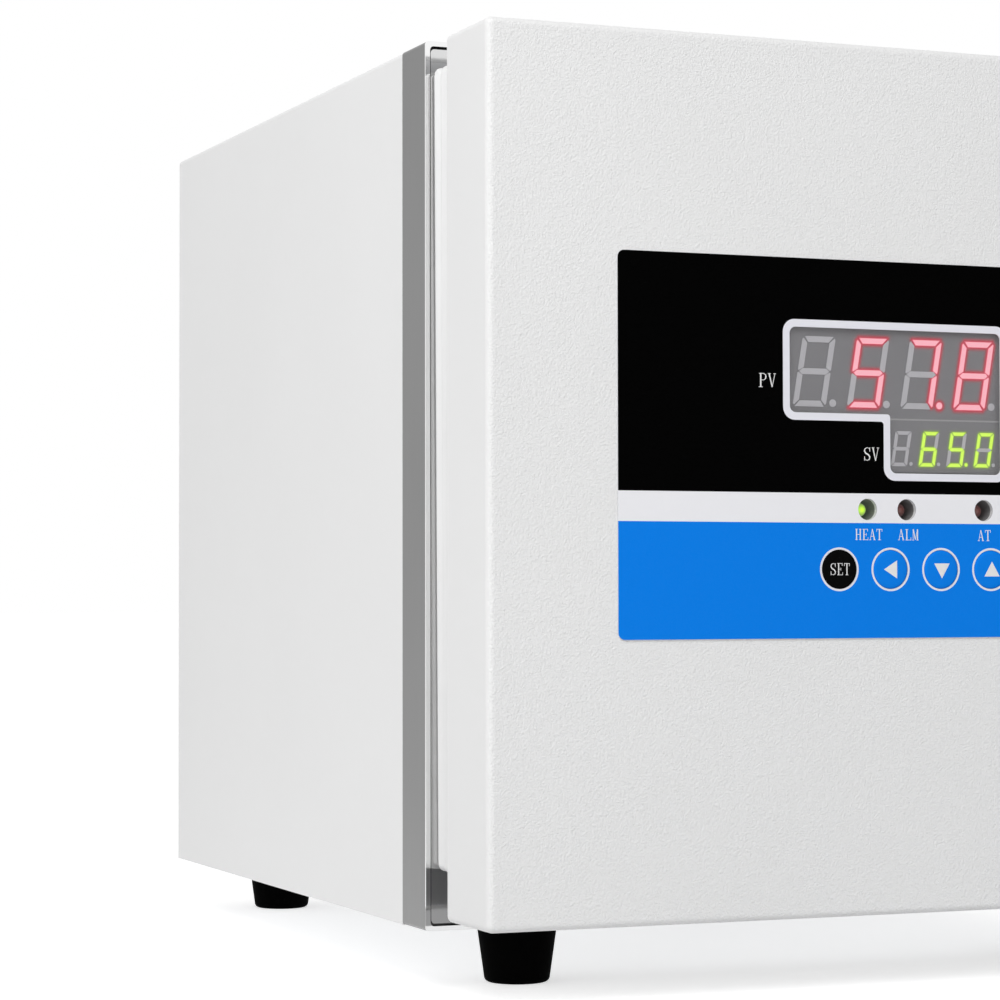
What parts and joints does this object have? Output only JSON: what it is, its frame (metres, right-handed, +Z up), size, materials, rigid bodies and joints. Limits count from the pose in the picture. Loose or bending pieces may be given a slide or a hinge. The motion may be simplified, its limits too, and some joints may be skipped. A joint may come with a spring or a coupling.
{
  "type": "laboratory incubator",
  "caption": "Small bench-top laboratory incubator: insulated white steel cabinet with stainless chamber, wire shelves and a hinged door that carries a digital temperature control panel.",
  "frame": {"origin": "on the bench under the middle of the whole incubator, at the height of the feet's undersides", "axes": "+Z up, +Y from the door to the rear, +X to the right of someone who faces the door"},
  "size_m": [0.32, 0.3806, 0.3463],
  "materials": {
    "shell_paint": "satin",
    "door_paint": "satin",
    "base_zinc": "satin",
    "stainless_frame": "polished",
    "stainless_inner": "satin",
    "insulation": "matte",
    "white_moulding": "satin",
    "heater_rubber": "matte",
    "dark_moulding": "satin",
    "plated_screws": "satin",
    "brass_pins": "satin",
    "rocker_black": "gloss",
    "hinge_steel": "satin",
    "foot_rubber": "matte",
    "gasket_white": "satin",
    "overlay_film": "satin",
    "clear_pane": "gloss",
    "display_face": "matte",
    "board_green": "satin",
    "lamp_green": "gloss",
    "lamp_red": "gloss",
    "key_black": "satin",
    "key_blue": "satin",
    "shelf_wire": "polished"
  },
  "bodies": {
    "cabinet": {"outer_shell": "shell_paint", "base_tray": "base_zinc", "front_frame": "stainless_frame", "chamber_tank": "stainless_inner", "chamber_insulation": "insulation", "shelf_runners_left": "stainless_inner", "shelf_runners_right": "stainless_inner", "temperature_probe": "stainless_inner", "probe_gland": "white_moulding", "heater_left": "heater_rubber", "heater_right": "heater_rubber", "heater_floor": "heater_rubber", "thermal_cutout": "dark_moulding", "bulkhead": "base_zinc", "terminal_block": "white_moulding", "heater_relay": "dark_moulding", "rear_panel": "shell_paint", "rear_panel_screws": "plated_screws", "power_inlet": "dark_moulding", "inlet_pins": "brass_pins", "switch_housing": "dark_moulding", "foot_screws": "plated_screws", "hinge_plate_top": "hinge_steel", "hinge_plate_bottom": "hinge_steel", "hinge_pin_top": "hinge_steel", "hinge_pin_bottom": "hinge_steel", "hinge_screws": "plated_screws", "foot_front_left": "foot_rubber", "foot_front_right": "foot_rubber", "foot_rear_left": "foot_rubber", "foot_rear_right": "foot_rubber"},
    "door": {"hinge_bush_top": "white_moulding", "hinge_bush_bottom": "white_moulding", "door_skin": "door_paint", "door_liner": "stainless_inner", "door_insulation": "insulation", "door_gasket": "gasket_white", "control_box": "base_zinc", "control_overlay": "overlay_film", "display_window": "clear_pane", "pv_display": "display_face", "sv_display": "display_face", "key_switches": "dark_moulding", "control_board": "board_green", "board_posts": "plated_screws", "board_screws": "plated_screws", "board_parts": "dark_moulding", "lamp_heat": "lamp_green", "lamp_alarm": "lamp_red", "lamp_tune": "lamp_red", "lamp_sleeves": "dark_moulding"},
    "key_set": {"key_set": "key_black"},
    "key_shift": {"key_shift": "key_blue"},
    "key_down": {"key_down": "key_blue"},
    "key_up": {"key_up": "key_blue"},
    "power_rocker": {"power_rocker": "rocker_black"},
    "fuse_drawer": {"fuse_drawer": "dark_moulding"},
    "lower_shelf": {"lower_shelf": "shelf_wire"},
    "upper_shelf": {"upper_shelf": "shelf_wire"}
  },
  "joints": [
    {"name": "door_hinge", "type": "hinge", "parent": "cabinet", "child": "door", "pos_m": [0.153, -0.1632, 0.022], "axis": [0, 0, 1], "range_deg": [0, 110]},
    {"name": "key_set_press", "type": "slide", "parent": "door", "child": "key_set", "axis": [0, 1, 0], "range_m": [0, 0.0006], "stiffness_N_per_m": 3000},
    {"name": "key_shift_press", "type": "slide", "parent": "door", "child": "key_shift", "axis": [0, 1, 0], "range_m": [0, 0.0006], "stiffness_N_per_m": 3000},
    {"name": "key_down_press", "type": "slide", "parent": "door", "child": "key_down", "axis": [0, 1, 0], "range_m": [0, 0.0006], "stiffness_N_per_m": 3000},
    {"name": "key_up_press", "type": "slide", "parent": "door", "child": "key_up", "axis": [0, 1, 0], "range_m": [0, 0.0006], "stiffness_N_per_m": 3000},
    {"name": "rocker_tip", "type": "hinge", "parent": "cabinet", "child": "power_rocker", "pos_m": [0.055, 0.1815, 0.084], "axis": [-1, 0, 0], "range_deg": [0, 18]},
    {"name": "fuse_drawer_slide", "type": "slide", "parent": "cabinet", "child": "fuse_drawer", "axis": [0, 1, 0], "range_m": [0, 0.014]},
    {"name": "lower_shelf_slide", "type": "slide", "parent": "cabinet", "child": "lower_shelf", "axis": [0, -1, 0], "range_m": [0, 0.036]},
    {"name": "upper_shelf_slide", "type": "slide", "parent": "cabinet", "child": "upper_shelf", "axis": [0, -1, 0], "range_m": [0, 0.036]}
  ]
}
